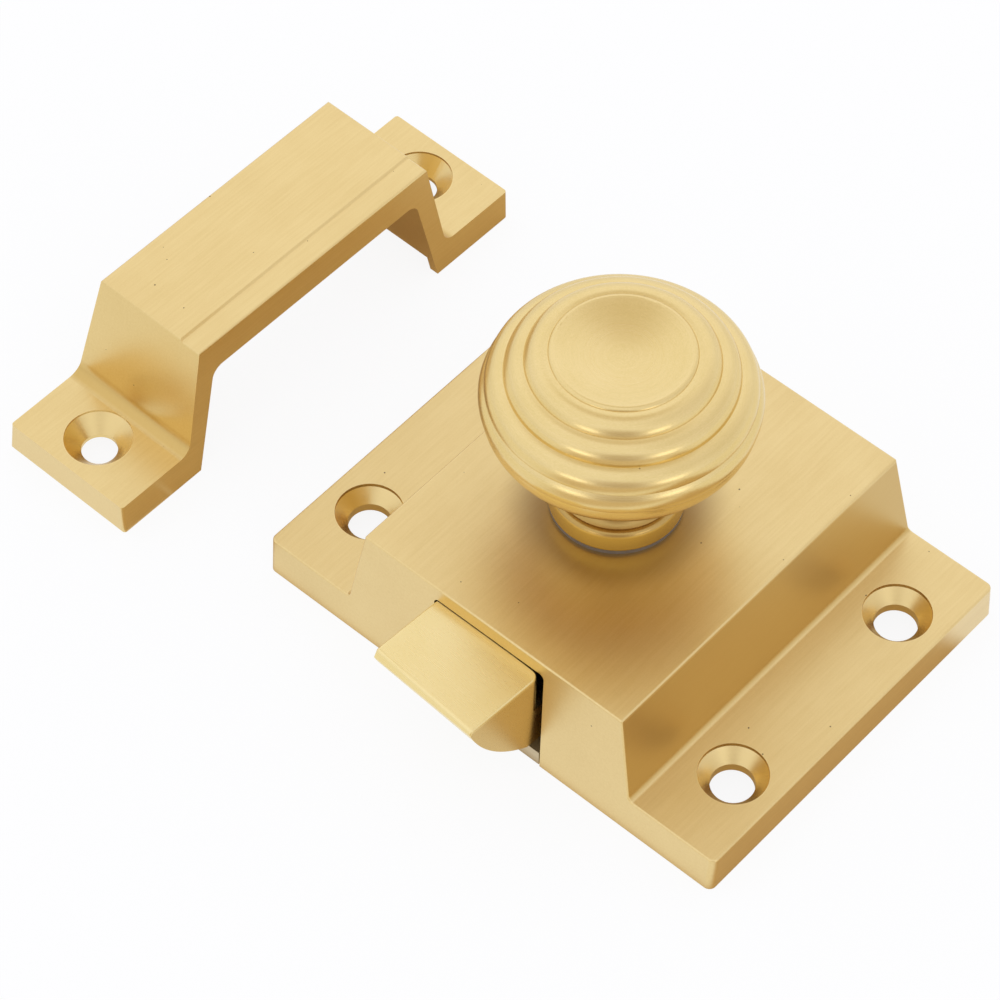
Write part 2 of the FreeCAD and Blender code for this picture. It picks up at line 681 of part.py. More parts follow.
ribs = sketch_on(case, "tail_ribs", "XY_Plane", "rib_level")
rectangle(ribs, "rib_left_outer", "rib_front", "rib_left_inner", "rib_back")
rectangle(ribs, "rib_right_inner", "rib_front", "rib_right_outer", "rib_back")
extrude(case, "Pad", ribs, "tail_rib_pads", "rib_height")

boss = sketch_on(case, "spindle_boss", "XY_Plane", "boss_level")
circle(boss, "spindle_x", "spindle_y", "boss_diameter")
extrude(case, "Pad", boss, "spindle_boss_pad", "boss_height")
bore = sketch_on(case, "spindle_bore", "XY_Plane", "past_top")
circle(bore, "spindle_x", "spindle_y", "spindle_hole_diameter")
extrude(case, "Pocket", bore, "spindle_hole", "spindle_hole_length")

seat_base = sketch_on(case, "spring_seat", "XZ_Plane", "-seat_y")
circle(seat_base, "seat_x", "tail_middle", "seat_boss_diameter")
extrude(case, "Pad", seat_base, "spring_seat_boss", "seat_boss_length", reverse=True)
stud = sketch_on(case, "spring_stud", "XZ_Plane", "-seat_y")
circle(stud, "seat_x", "tail_middle", "seat_stud_diameter")
extrude(case, "Pad", stud, "spring_stud_pad", "seat_stud_length")

lips = sketch_on(case, "screw_lips", "XY_Plane", "flange_thickness")
four_circles(lips, "screw_half_across", "screw_half_along", "countersink_diameter")
extrude(case, "Pocket", lips, "screw_lip_cuts", "countersink_lip")
holes = sketch_on(case, "screw_places", "XY_Plane", "countersink_level")
four_circles(holes, "screw_half_across", "screw_half_along", "screw_hole_diameter")
countersunk(case, holes, "screw_holes", "screw_hole_diameter", "countersink_diameter")

taps = sketch_on(case, "plate_screw_taps", "XY_Plane", "recess_depth")
four_circles(taps, "plate_screw_half_across", "plate_screw_half_along", "plate_tap_diameter")
extrude(case, "Pocket", taps, "plate_screw_tap_cuts", "plate_tap_depth", reverse=True)

# back plate: closes the cavity, with a tongue that closes the bottom of the mouth

back_plate = new_body("back_plate")
plan = sketch_on(back_plate, "plate_outline", "XY_Plane")
outline(plan, ("-plate_half_width", "plate_front"), [
    ("tongue_left", "plate_front"),
    ("tongue_left", "tongue_front"),
    ("tongue_right", "tongue_front"),
    ("tongue_right", "plate_front"),
    ("plate_half_width", "plate_front"),
    ("plate_half_width", "plate_half_depth"),
    ("-plate_half_width", "plate_half_depth"),
    ("-plate_half_width", "plate_front"),
])
extrude(back_plate, "Pad", plan, "plate_sheet", "recess_depth")
places = sketch_on(back_plate, "plate_screw_places", "XY_Plane")
four_circles(places, "plate_screw_half_across", "plate_screw_half_along", "plate_hole_diameter")
countersunk(back_plate, places, "plate_screw_holes", "plate_hole_diameter",
            "plate_countersink_diameter", upward=True)


def slotted_screw(name, x, y):
    """Countersunk screw, head down in the back plate and point up in the case."""
    body = new_body(name)
    half = sketch_on(body, name + "_half", "XZ_Plane")
    outline(half, ("0", "0"), [
        ("plate_screw_head_radius", "0"),
        ("plate_screw_radius", "plate_screw_cone"),
        ("plate_screw_radius", "plate_screw_length"),
        ("0", "plate_screw_length"),
        ("0", "0"),
    ])
    revolve(body, half, name + "_turned")
    slot = sketch_on(body, name + "_slot", "XY_Plane")
    slot_across(slot, "plate_screw_head", "driver_slot_width")
    extrude(body, "Pocket", slot, name + "_slot_cut", "driver_slot_depth", reverse=True)
    place(body, x, y, "plate_screw_sink")
    return body


def slot_across(sketch, length, width):
    """Centred rectangle, as long as a head's diameter and longer by half a width at each end."""
    x = size(length) / 2 + size(width) / 2
    y = size(width) / 2
    corners = [(-x, -y), (x, -y), (x, y), (-x, y)]
    lines = []
    for number in range(4):
        a = FreeCAD.Vector(corners[number][0], corners[number][1], 0)
        b = FreeCAD.Vector(corners[(number + 1) % 4][0], corners[(number + 1) % 4][1], 0)
        lines.append(sketch.addGeometry(Part.LineSegment(a, b), False))
    for number in range(4):
        sketch.addConstraint(Sketcher.Constraint("Coincident", lines[number], 2, lines[(number + 1) % 4], 1))
    for number in (0, 2):
        sketch.addConstraint(Sketcher.Constraint("Horizontal", lines[number]))
        sketch.addConstraint(Sketcher.Constraint("Vertical", lines[number + 1]))
    sketch.addConstraint(Sketcher.Constraint("Symmetric", lines[0], 1, lines[2], 1, -1, 1))
    long_side = sketch.addConstraint(Sketcher.Constraint("DistanceX", lines[0], 1, lines[0], 2, 2 * x))
    short_side = sketch.addConstraint(Sketcher.Constraint("DistanceY", lines[1], 1, lines[1], 2, 2 * y))
    sketch.setExpression("Constraints[" + str(long_side) + "]", term(length) + " + " + term(width))
    bind(sketch, "Constraints[" + str(short_side) + "]", width)


for side_name, x in (("left", "-plate_screw_half_across"), ("right", "plate_screw_half_across")):
    for end_name, y in (("front", "-plate_screw_half_along"), ("rear", "plate_screw_half_along")):
        slotted_screw("back_plate_screw_" + end_name + "_" + side_name, x, y)

# latch bolt: head with a curved underside, neck, and a wide tail inside the case

bolt = new_body("latch_bolt")
side = sketch_on(bolt, "head_side", "YZ_Plane")
outline(side, ("nose_front", "bolt_top"), [
    ("nose_front", "nose_land_level"),
    ("nose_back", "bolt_bottom", "nose_curve", 1),
    ("neck_end_along", "bolt_bottom"),
    ("neck_end_along", "tail_top"),
    ("head_rear", "tail_top"),
    ("head_rear", "bolt_top"),
    ("nose_front", "bolt_top"),
])
extrude(bolt, "Pad", side, "head_and_neck", "head_width", both_ways=True)
soften(bolt, "Fillet", "Radius", "head_rear_corner", "head_rear_radius",
       lambda e, m: rises(e, size("nose_land")) and near(m.y, size("head_rear")) and m.x > 0)
bevel_ends = []
for side_name, level in (("left", "-bevel_side"), ("right", "bevel_side")):
    end = sketch_on(bolt, "nose_bevel_" + side_name, "YZ_Plane", level)
    outline(end, ("bevel_" + side_name + "_below", "bevel_below"), [
        ("bevel_" + side_name + "_above", "bevel_above"),
        ("bevel_clear", "bevel_above"),
        ("bevel_clear", "bevel_below"),
        ("bevel_" + side_name + "_below", "bevel_below"),
    ])
    bevel_ends.append(end)
cut_between(bolt, bevel_ends[0], bevel_ends[1], "nose_bevel")
soften(bolt, "Fillet", "Radius", "nose_edge", "nose_edge_radius",
       lambda e, m: near(m.z, size("bolt_top")) and m.y < size("nose_back")
       and abs(m.x) < size("head_width") / 4)
soften(bolt, "Fillet", "Radius", "head_side_edges", "bolt_edge_radius",
       lambda e, m: near(m.z, size("bolt_top")) and near(abs(m.x), size("head_width") / 2))

tail = sketch_on(bolt, "tail_outline", "XY_Plane", "bolt_bottom")
rectangle(tail, "tail_left", "tail_front", "tail_right", "tail_rear")
extrude(bolt, "Pad", tail, "tail_plate", "tail_thickness")
soften(bolt, "Fillet", "Radius", "tail_corners", "tail_corner_radius",
       lambda e, m: rises(e, size("tail_thickness") / 2) and near(m.y, size("tail_rear")))
skids = sketch_on(bolt, "tail_skids", "XY_Plane", "skid_bottom")
rectangle(skids, "tail_left", "neck_end_along", "skid_left_inner", "pin_rest_along")
rectangle(skids, "skid_right_inner", "neck_end_along", "tail_right", "pin_rest_along")
extrude(bolt, "Pad", skids, "tail_skid_pads", "skid_height")

slot = sketch_on(bolt, "pin_slot", "XY_Plane", "tail_top")
belt(slot, ("slot_inner_across", "pin_rest_along", "slot_radius"),
     ("slot_outer_across", "pin_rest_along", "slot_radius"))
extrude(bolt, "Pocket", slot, "pin_slot_cut", "tail_thickness")
well = sketch_on(bolt, "spring_well", "XZ_Plane", "-tail_rear")
circle(well, "0", "tail_middle", "spring_hole_diameter")
extrude(bolt, "Pocket", well, "spring_well_cut", "spring_hole_depth", reverse=True)
place(bolt, "bolt_x", "bolt_pivot_y", "0", "-bolt_skew")

# spring: wound about the bolt's line of travel, from the tail's well to the seat in the case

spring = new_body("bolt_spring")
wire = sketch_on(spring, "spring_section", "YZ_Plane")
circle(wire, "spring_start", "spring_coil_radius", "spring_wire")
coil = spring.newObject("PartDesign::AdditiveHelix", "spring_coil")
coil.Profile = wire
coil.ReferenceAxis = (wire, ["H_Axis"])
coil.Mode = "pitch-turns-angle"
bind(coil, "Pitch", "spring_pitch")
bind(coil, "Turns", "spring_turns")
wire.Visibility = False
spring.Tip = coil
doc.recompute()
place(spring, "bolt_x", "bolt_pivot_y", "tail_middle", "-bolt_skew")

# spindle: threaded stud in the knob, journal in the roof, square end for the crank arm

spindle = new_body("spindle")
half = sketch_on(spindle, "spindle_half", "XZ_Plane")
outline(half, ("0", "arm_top"), [
    ("journal_radius", "arm_top"),
    ("journal_radius", "foot_level"),
    ("stud_radius", "foot_level"),
    ("stud_radius", "stud_top"),
    ("0", "stud_top"),
    ("0", "arm_top"),
])
revolve(spindle, half, "spindle_turned")
square = sketch_on(spindle, "spindle_square", "XY_Plane", "square_bottom")
rectangle(square, "-square_half", "-square_half", "square_half", "square_half")
extrude(spindle, "Pad", square, "spindle_square_pad", "square_length")
tap = sketch_on(spindle, "arm_screw_tap", "XY_Plane", "square_bottom")
circle(tap, "0", "0", "arm_tap_diameter")
extrude(spindle, "Pocket", tap, "arm_screw_tap_cut", "arm_tap_depth", reverse=True)
place(spindle, "spindle_x", "spindle_y", "0", "-arm_rest_angle")

# crank arm on the square, with its pin riveted in

arm = new_body("crank_arm")
plan = sketch_on(arm, "arm_outline", "XY_Plane", "arm_bottom")
belt(plan, ("0", "0", "arm_hub_radius"), ("arm_length", "0", "arm_tip_radius"))
extrude(arm, "Pad", plan, "arm_plate", "arm_thickness")
eye = sketch_on(arm, "arm_square", "XY_Plane", "arm_top")
rectangle(eye, "-square_hole_half", "-square_hole_half", "square_hole_half", "square_hole_half")
extrude(arm, "Pocket", eye, "arm_square_cut", "arm_thickness")
pin_hole = sketch_on(arm, "arm_pin_place", "XY_Plane", "arm_top")
circle(pin_hole, "arm_length", "0", "pin_hole_diameter")
extrude(arm, "Pocket", pin_hole, "arm_pin_hole", "arm_thickness")
place(arm, "spindle_x", "spindle_y", "0", "-arm_rest_angle")

pin = new_body("crank_pin")
pin_round = sketch_on(pin, "pin_section", "XY_Plane", "pin_end")
circle(pin_round, "arm_length", "0", "pin_diameter")
extrude(pin, "Pad", pin_round, "pin_length_pad", "pin_length")
soften(pin, "Chamfer", "Size", "pin_lead", "pin_chamfer", lambda e, m: near(m.z, size("pin_end")))
place(pin, "spindle_x", "spindle_y", "0", "-arm_rest_angle")

washer = new_body("arm_washer")
ring = sketch_on(washer, "arm_washer_ring", "XY_Plane", "arm_washer_bottom")
circle(ring, "0", "0", "arm_washer_diameter")
circle(ring, "0", "0", "arm_washer_hole")
extrude(washer, "Pad", ring, "arm_washer_pad", "arm_washer_thickness")
place(washer, "spindle_x", "spindle_y", "0")

arm_screw = new_body("arm_screw")
half = sketch_on(arm_screw, "arm_screw_half", "XZ_Plane")
outline(half, ("0", "-arm_screw_head_height"), [
    ("arm_screw_head_flat", "-arm_screw_head_height"),
    ("arm_screw_head_radius", "-arm_screw_head_side", "arm_screw_head_curve", 1),
    ("arm_screw_head_radius", "0"),
    ("arm_screw_radius", "0"),
    ("arm_screw_radius", "arm_screw_length"),
    ("0", "arm_screw_length"),
    ("0", "-arm_screw_head_height"),
])
revolve(arm_screw, half, "arm_screw_turned")
notch = sketch_on(arm_screw, "arm_screw_slot", "XY_Plane", "-arm_screw_head_height")
slot_across(notch, "arm_screw_head", "driver_slot_width")
extrude(arm_screw, "Pocket", notch, "arm_screw_slot_cut", "driver_slot_depth", reverse=True)
place(arm_screw, "spindle_x", "spindle_y", "arm_washer_bottom")

# knob: turned in one piece, four beads over a plain underside, with a dished top

knob = new_body("knob")
turned = sketch_on(knob, "knob_half", "XZ_Plane")
outline(turned, ("0", "0"), [
    ("foot_corner", "0"),
    ("foot_radius", "foot_edge", "foot_edge", 1),
    ("foot_radius", "foot_height"),
    ("foot_shoulder", "foot_top", "foot_round", 1),
    ("neck_radius", "neck_start", "shoulder_curve", -1),
    ("neck_radius", "neck_end"),
    ("under_radius", "under_height", "flare_curve", -1),
    ("crease_four_radius", "crease_four_height", "under_curve", 1),
    ("crease_three_radius", "crease_three_height", "low_bead_curve", 1),
    ("crease_two_radius", "crease_two_height", "bead_curve", 1),
    ("crease_one_radius", "crease_one_height", "bead_curve", 1),
    ("dish_radius", "dish_height", "bead_curve", 1),
    ("dish_crest_radius", "dish_crest_height", "dish_edge_curve", 1),
    ("0", "dish_bottom", "dish_sphere", -1),
    ("0", "0"),
])
revolve(knob, turned, "knob_turned")
socket = sketch_on(knob, "stud_socket", "XY_Plane")
circle(socket, "0", "0", "stud_socket_diameter")
extrude(knob, "Pocket", socket, "stud_socket_cut", "stud_socket_depth", reverse=True)
place(knob, "spindle_x", "spindle_y", "foot_level")

knob_washer = new_body("knob_washer")
ring = sketch_on(knob_washer, "knob_washer_ring", "XY_Plane")
circle(ring, "0", "0", "washer_diameter")
circle(ring, "0", "0", "spindle_hole_diameter")
extrude(knob_washer, "Pad", ring, "knob_washer_pad", "washer_thickness")
place(knob_washer, "spindle_x", "spindle_y", "case_height")

# keeper: a bridge on two screw feet, drawn in its side outline

keeper = new_body("keeper")
profile = sketch_on(keeper, "keeper_outline", "YZ_Plane")
outline(profile, ("-keeper_half_length", "0"), [
    ("-keeper_inside_base", "0"),
    ("-keeper_inside_top", "keeper_underside"),
    ("keeper_inside_top", "keeper_underside"),
    ("keeper_inside_base", "0"),
    ("keeper_half_length", "0"),
    ("keeper_half_length", "keeper_foot"),
    ("keeper_leg_base", "keeper_foot"),
    ("keeper_leg_top", "keeper_height"),
    ("-keeper_leg_top", "keeper_height"),
    ("-keeper_leg_base", "keeper_foot"),
    ("-keeper_half_length", "keeper_foot"),
    ("-keeper_half_length", "0"),
])
extrude(keeper, "Pad", profile, "keeper_block", "keeper_width", both_ways=True)
soften(keeper, "Fillet", "Radius", "keeper_inside_corners", "keeper_inside_radius",
       lambda e, m: near(m.z, size("keeper_underside")) and near(abs(m.y), size("keeper_inside_top")))
soften(keeper, "Fillet", "Radius", "keeper_roots", "keeper_root_radius",
       lambda e, m: near(m.z, size("keeper_foot")) and near(abs(m.y), size("keeper_leg_base")))

leans = sketch_on(keeper, "keeper_leans", "XZ_Plane")
outline(leans, ("keeper_half_width", "0"), [
    ("keeper_front_clear", "0"),
    ("keeper_front_clear", "keeper_past_top"),
    ("keeper_front_at_past_top", "keeper_past_top"),
    ("keeper_half_width", "0"),
])
outline(leans, ("-keeper_half_width", "0"), [
    ("keeper_back_at_past_top", "keeper_past_top"),
    ("-keeper_front_clear", "keeper_past_top"),
    ("-keeper_front_clear", "0"),
    ("-keeper_half_width", "0"),
])
extrude(keeper, "Pocket", leans, "keeper_lean_cuts", both_ways=True)
step = sketch_on(keeper, "keeper_lip", "XZ_Plane")
outline(step, ("keeper_lip_inner", "keeper_lip_level"), [
    ("keeper_front_clear", "keeper_lip_level"),
    ("keeper_front_clear", "keeper_past_top"),
    ("keeper_lip_past_top", "keeper_past_top"),
    ("keeper_lip_inner", "keeper_lip_level"),
])
extrude(keeper, "Pocket", step, "keeper_lip_cut", both_ways=True)
soften(keeper, "Fillet", "Radius", "keeper_corners", "keeper_corner_radius",
       lambda e, m: rises(e, size("keeper_foot") / 2) and near(abs(m.y), size("keeper_half_length")))

soften(keeper, "Fillet", "Radius", "keeper_top_edges", "keeper_edge_radius",
       lambda e, m: m.z > size("keeper_lip_level") - size("keeper_lip_drop")
       and not near(m.x, size("keeper_lip_inner"), size("keeper_lip_width") / 2))

# hollow under each foot, open to the inside, with a rounded lower edge on the leg
under = sketch_on(keeper, "foot_hollows", "YZ_Plane", "keeper_recess_front")
for sign, side in (("", 1), ("-", -1)):
    outline(under, (sign + "keeper_recess_outer", "keeper_below"), [
        (sign + "keeper_recess_outer", "keeper_recess"),
        (sign + "keeper_round_outer", "keeper_recess"),
        (sign + "keeper_round_inner", "keeper_round_top", "keeper_leg_round", -side),
        (sign + "keeper_recess_inner", "keeper_round_top"),
        (sign + "keeper_recess_inner", "keeper_below"),
        (sign + "keeper_recess_outer", "keeper_below"),
    ])
extrude(keeper, "Pocket", under, "foot_hollow_cuts", "keeper_recess_length")

lips = sketch_on(keeper, "keeper_screw_lips", "XY_Plane", "keeper_foot")
for y in ("keeper_hole_half", "-keeper_hole_half"):
    circle(lips, "0", y, "keeper_countersink")
extrude(keeper, "Pocket", lips, "keeper_lip_holes", "keeper_countersink_lip")
places = sketch_on(keeper, "keeper_screw_places", "XY_Plane", "keeper_countersink_level")
for y in ("keeper_hole_half", "-keeper_hole_half"):
    circle(places, "0", y, "keeper_hole_diameter")
countersunk(keeper, places, "keeper_screw_holes", "keeper_hole_diameter", "keeper_countersink")
place(keeper, "keeper_x", "keeper_y", "0", "-keeper_turn")

doc.recompute()

# no piece is written unless the whole document is sound

for thing in doc.Objects:
    if "Invalid" in thing.State or "Error" in thing.State:
        raise RuntimeError(thing.Label + " did not compute: " + str(thing.State))
pieces = [o for o in doc.Objects if o.isDerivedFrom("PartDesign::Body")]
for piece in pieces:
    if not piece.Shape.isValid() or len(piece.Shape.Solids) != 1:
        raise RuntimeError(piece.Label + " is not one valid solid")
os.makedirs("parts", exist_ok=True)
for piece in pieces:
    piece.Shape.exportStep("parts/" + piece.Label + ".step")
    print(piece.Label, round(piece.Shape.Volume, 3))
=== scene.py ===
import math
import bpy
from mathutils import Euler, Matrix, Vector


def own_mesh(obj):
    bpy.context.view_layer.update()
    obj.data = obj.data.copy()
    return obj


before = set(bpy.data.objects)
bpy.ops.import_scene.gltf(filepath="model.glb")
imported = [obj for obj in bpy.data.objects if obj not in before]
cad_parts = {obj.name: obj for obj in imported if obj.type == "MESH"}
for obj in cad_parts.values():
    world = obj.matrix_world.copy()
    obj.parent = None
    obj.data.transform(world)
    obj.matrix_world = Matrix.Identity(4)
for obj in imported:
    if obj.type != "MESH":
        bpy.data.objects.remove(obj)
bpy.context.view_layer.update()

print("model loaded:", len(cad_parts), "nodes")

mmPerMetre = 1000
levelOnly = (1, 1, 0)  # keeps the part of a vector that lies level
plainWhite = (1, 1, 1, 1)
floatSocket = "NodeSocketFloat"
vectorSocket = "NodeSocketVector"


# node helpers: an input is a plain value, or another node's output, which is then linked to it
def addNode(tree, kind, spot, inputs=None, **fields):
    node = tree.nodes.new(kind)
    node.location = spot
    for name, value in fields.items():
        setattr(node, name, value)
    for name, value in (inputs or {}).items():
        if isinstance(value, bpy.types.NodeSocket):
            tree.links.new(value, node.inputs[name])
        else:
            node.inputs[name].default_value = value
    return node


def addMath(tree, spot, operation, *values):
    return addNode(tree, "ShaderNodeMath", spot, dict(enumerate(values)), operation=operation).outputs[0]


def addVectorMath(tree, spot, operation, *values):
    node = addNode(tree, "ShaderNodeVectorMath", spot, dict(enumerate(values)), operation=operation)
    givesNumber = operation in ("LENGTH", "DISTANCE", "DOT_PRODUCT")
    return node.outputs["Value" if givesNumber else "Vector"]


def addRange(tree, spot, value, low, high, start=0, end=1, **fields):
    limits = {"Value": value, "From Min": low, "From Max": high, "To Min": start, "To Max": end}
    return addNode(tree, "ShaderNodeMapRange", spot, limits, **fields).outputs[0]


def addMix(tree, spot, share, first, second):
    return addNode(tree, "ShaderNodeMix", spot, {0: share, 2: first, 3: second}).outputs[0]


def addColourMix(tree, spot, share, first, second):
    mix = addNode(tree, "ShaderNodeMix", spot, {0: share, 6: first, 7: second}, data_type="RGBA")
    return mix.outputs[2]


def addAxes(tree, spot, vector):
    return addNode(tree, "ShaderNodeSeparateXYZ", spot, {0: vector}).outputs


def addNoise(tree, spot, vector, scale, detail, roughness):
    return addNode(tree, "ShaderNodeTexNoise", spot, {
        "Vector": vector, "Scale": scale, "Detail": detail, "Roughness": roughness}).outputs["Fac"]


# a soft band of one value between its limits: 0 outside it and 1 in its middle
def softBand(tree, spot, value, limits):
    low, lowFull, highFull, high = limits
    x, y = spot
    rise = addRange(tree, spot, value, low, lowFull)
    fall = addRange(tree, (x, y - 260), value, highFull, high, 1, 0)
    return addMath(tree, (x + 180, y), "MULTIPLY", rise, fall)


def tinted(tree, spot, colour, mask, strength, tint):
    amount = addMath(tree, (spot[0] - 180, spot[1]), "MULTIPLY", mask, strength)
    return addColourMix(tree, spot, amount, colour, tint)


def emptyTree(owner):
    owner.use_nodes = True
    owner.node_tree.nodes.clear()
    return owner.node_tree


def newGroup(name, takes, gives):
    tree = bpy.data.node_groups.new(name, "ShaderNodeTree")
    for label, kind, value in takes:
        socket = tree.interface.new_socket(label, in_out="INPUT", socket_type=kind)
        socket.default_value = value
    for label in gives:
        tree.interface.new_socket(label, in_out="OUTPUT", socket_type=floatSocket)
    return tree, addNode(tree, "NodeGroupInput", (-900, 0)).outputs


def closeGroup(tree, outputs):
    addNode(tree, "NodeGroupOutput", (700, 0), outputs)
    return tree


def useGroup(tree, group, spot, inputs):
    return addNode(tree, "ShaderNodeGroup", spot, inputs, node_tree=group).outputs


# brushed lines: noise drawn out along one direction, in millimetres
def makeBrushLines():
    broadStretch = (0.3, 0.5, 0.3)
    tree, given = newGroup(
        "brushLines",
        [("Vector", vectorSocket, (0, 0, 0)), ("Density", vectorSocket, (9, 0.25, 9))],
        ("Height", "Streaks"))
    fine = addVectorMath(tree, (-700, 120), "MULTIPLY", given["Vector"], given["Density"])
    broad = addVectorMath(tree, (-700, -120), "MULTIPLY", fine, broadStretch)
    return closeGroup(tree, {
        "Height": addNoise(tree, (-450, 160), fine, 1.0, 3.0, 0.62),
        "Streaks": addNoise(tree, (-450, -120), broad, 1.0, 4.0, 0.55)})


# lathe lines: rings about Z that follow both the radius and the height
def makeLatheLines():
    tree, given = newGroup(
        "latheLines",
        [("Vector", vectorSocket, (0, 0, 0)), ("Pitch", floatSocket, 6.0)],
        ("Height", "Streaks"))
    axes = addAxes(tree, (-760, 60), given["Vector"])
    level = addNode(tree, "ShaderNodeCombineXYZ", (-600, 140), {0: axes[0], 1: axes[1]})
    radius = addVectorMath(tree, (-440, 140), "LENGTH", level.outputs[0])
    profile = addNode(tree, "ShaderNodeCombineXYZ", (-280, 80), {0: radius, 1: axes[2]})
    pitched = addNode(tree, "ShaderNodeVectorMath", (-120, 80), {
        0: profile.outputs[0], "Scale": given["Pitch"]}, operation="SCALE").outputs[0]
    return closeGroup(tree, {
        "Height": addNoise(tree, (60, 120), pitched, 1.0, 3.0, 0.6),
        "Streaks": addNoise(tree, (60, -120), pitched, 0.3, 3.0, 0.6)})


# metal grain: fine even tooth with small pits, and a slow drift in tone
def makeMetalGrain():
    pittedAbove = 0.9  # of the cells, those with a chance above this hold a pit
    tree, given = newGroup(
        "metalGrain",
        [("Vector", vectorSocket, (0, 0, 0)), ("Tooth", floatSocket, 7.0), ("Cloud", floatSocket, 0.12),
         ("Pits", floatSocket, 0.06)],
        ("Height", "Drift", "Specks"))
    tooth = addNoise(tree, (-500, 200), given["Vector"], given["Tooth"], 4.0, 0.6)
    cloud = addNoise(tree, (-500, -20), given["Vector"], given["Cloud"], 3.0, 0.5)
    cells = addNode(tree, "ShaderNodeTexVoronoi", (-500, -260), {
        "Vector": given["Vector"], "Scale": 0.6, "Randomness": 1.0}).outputs
    near = addMath(tree, (-260, -220), "LESS_THAN", cells["Distance"], given["Pits"])
    chance = addNode(tree, "ShaderNodeSeparateColor", (-260, -400), {0: cells["Color"]}).outputs[0]
    few = addMath(tree, (-60, -400), "GREATER_THAN", chance, pittedAbove)
    pits = addMath(tree, (140, -300), "MULTIPLY", near, few)
    return closeGroup(tree, {
        "Height": addMath(tree, (340, 100), "SUBTRACT", tooth, pits), "Drift": cloud, "Specks": pits})


# turned countersinks: holes mirrored about both axes, with tool rings round each
def makeTurnedHoles():
    edgeSoftness = 0.06
    tree, given = newGroup(
        "turnedHoles",
        [("Vector", vectorSocket, (0, 0, 0)), ("Half Spacing", vectorSocket, (27, 15, 0)),
         ("Reach", floatSocket, 4.0), ("Pitch", floatSocket, 5.0)],
        ("Inside", "Rings"))
    folded = addVectorMath(tree, (-700, 100), "ABSOLUTE", given["Vector"])
    offset = addVectorMath(tree, (-540, 100), "SUBTRACT", folded, given["Half Spacing"])
    level = addVectorMath(tree, (-380, 100), "MULTIPLY", offset, levelOnly)
    away = addVectorMath(tree, (-220, 100), "LENGTH", level)
    short = addMath(tree, (-60, 160), "SUBTRACT", given["Reach"], away)
    pitched = addMath(tree, (-60, -60), "MULTIPLY", away, given["Pitch"])
    rings = addNode(tree, "ShaderNodeTexNoise", (120, -60), {
        "W": pitched, "Scale": 1.0, "Detail": 2.0}, noise_dimensions="1D")
    return closeGroup(tree, {
        "Inside": addRange(tree, (120, 160), short, -edgeSoftness, edgeSoftness),
        "Rings": rings.outputs["Fac"]})


brushLines = makeBrushLines()
latheLines = makeLatheLines()
metalGrain = makeMetalGrain()
turnedHoles = makeTurnedHoles()
print("shader groups built")


# what the metals share; a piece's own finish comes before these
brass = {
    "light": (0.825, 0.625, 0.262, 1),
    "deep": (0.77, 0.567, 0.222, 1),
    "speck": (0.16, 0.09, 0.03, 1),
    "shares": (0.4, 0.3, 0.3),  # of the streaks, the slow drift and the fine tooth in the tone
    "toneRange": (0.38, 0.6),
    "coat": 0.3,
    "coatIOR": 1.55,
    "coatRoughness": 0.4,
    "turned": (0.80, 0.60, 0.24, 1),
    "turnedStrength": 0.8,
    "turnedRoughness": 0.26,
    # the colour of the painted shade on the slopes, in the corners and on the bolt's sides
    "shaded": (0.58, 0.36, 0.07, 1),
    "shadeLean": 0.3,  # a face that looks more than this along the other axis takes no shade
    "shadeSoftness": 0.5,
}

